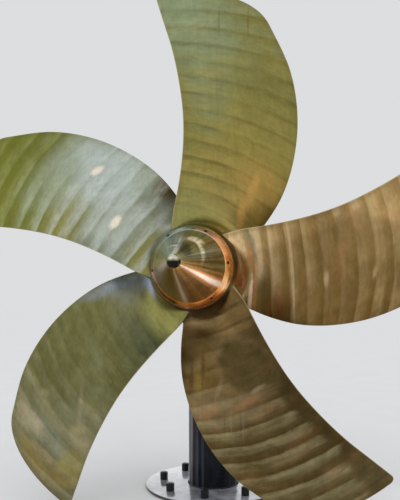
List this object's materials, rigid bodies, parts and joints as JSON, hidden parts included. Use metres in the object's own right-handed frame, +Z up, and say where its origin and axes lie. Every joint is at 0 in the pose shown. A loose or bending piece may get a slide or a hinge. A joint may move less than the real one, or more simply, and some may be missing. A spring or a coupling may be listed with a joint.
{
  "type": "ship propeller on a post stand",
  "caption": "Right-handed cast bronze ship propeller with swept blades and a pointed fairing cap, carried on a shaft through a steel post with a round bolted base plate.",
  "frame": {"origin": "centre of the base plate's underside, on the ground under the post", "axes": "+Z up, -Y along the shaft toward the pointed cap, +X to the right of someone facing the cap"},
  "size_m": [4.1984, 2.3547, 4.1113],
  "materials": {
    "stand_paint": "gloss black paint",
    "shaft_steel": "dulled turned steel",
    "nut_steel": "black coated steel",
    "blade_bronze": "ground bronze with polishing bands and a brown-green tarnish",
    "ring_copper": "bright turned copper-coloured bronze",
    "cone_bronze": "mirror-polished turned bronze",
    "knob_steel": "dark polished steel"
  },
  "bodies": {
    "root": {"base_plate": "stand_paint", "post": "stand_paint", "post_cap": "stand_paint", "thrust_collar": "stand_paint", "shaft_end_plate": "stand_paint", "shaft": "shaft_steel", "propeller": "blade_bronze", "cap_ring": "ring_copper", "cone": "cone_bronze", "cone_knob": "knob_steel", "anchor_nut_1": "nut_steel", "anchor_nut_2": "nut_steel", "anchor_nut_3": "nut_steel", "anchor_nut_4": "nut_steel", "anchor_nut_5": "nut_steel", "anchor_nut_6": "nut_steel", "anchor_nut_7": "nut_steel", "anchor_nut_8": "nut_steel", "end_bolt_1": "nut_steel", "rim_screw_1": "knob_steel", "end_bolt_2": "nut_steel", "rim_screw_2": "knob_steel", "end_bolt_3": "nut_steel", "rim_screw_3": "knob_steel", "end_bolt_4": "nut_steel", "rim_screw_4": "knob_steel", "end_bolt_5": "nut_steel", "rim_screw_5": "knob_steel", "end_bolt_6": "nut_steel", "rim_screw_6": "knob_steel"}
  },
  "joints": []
}
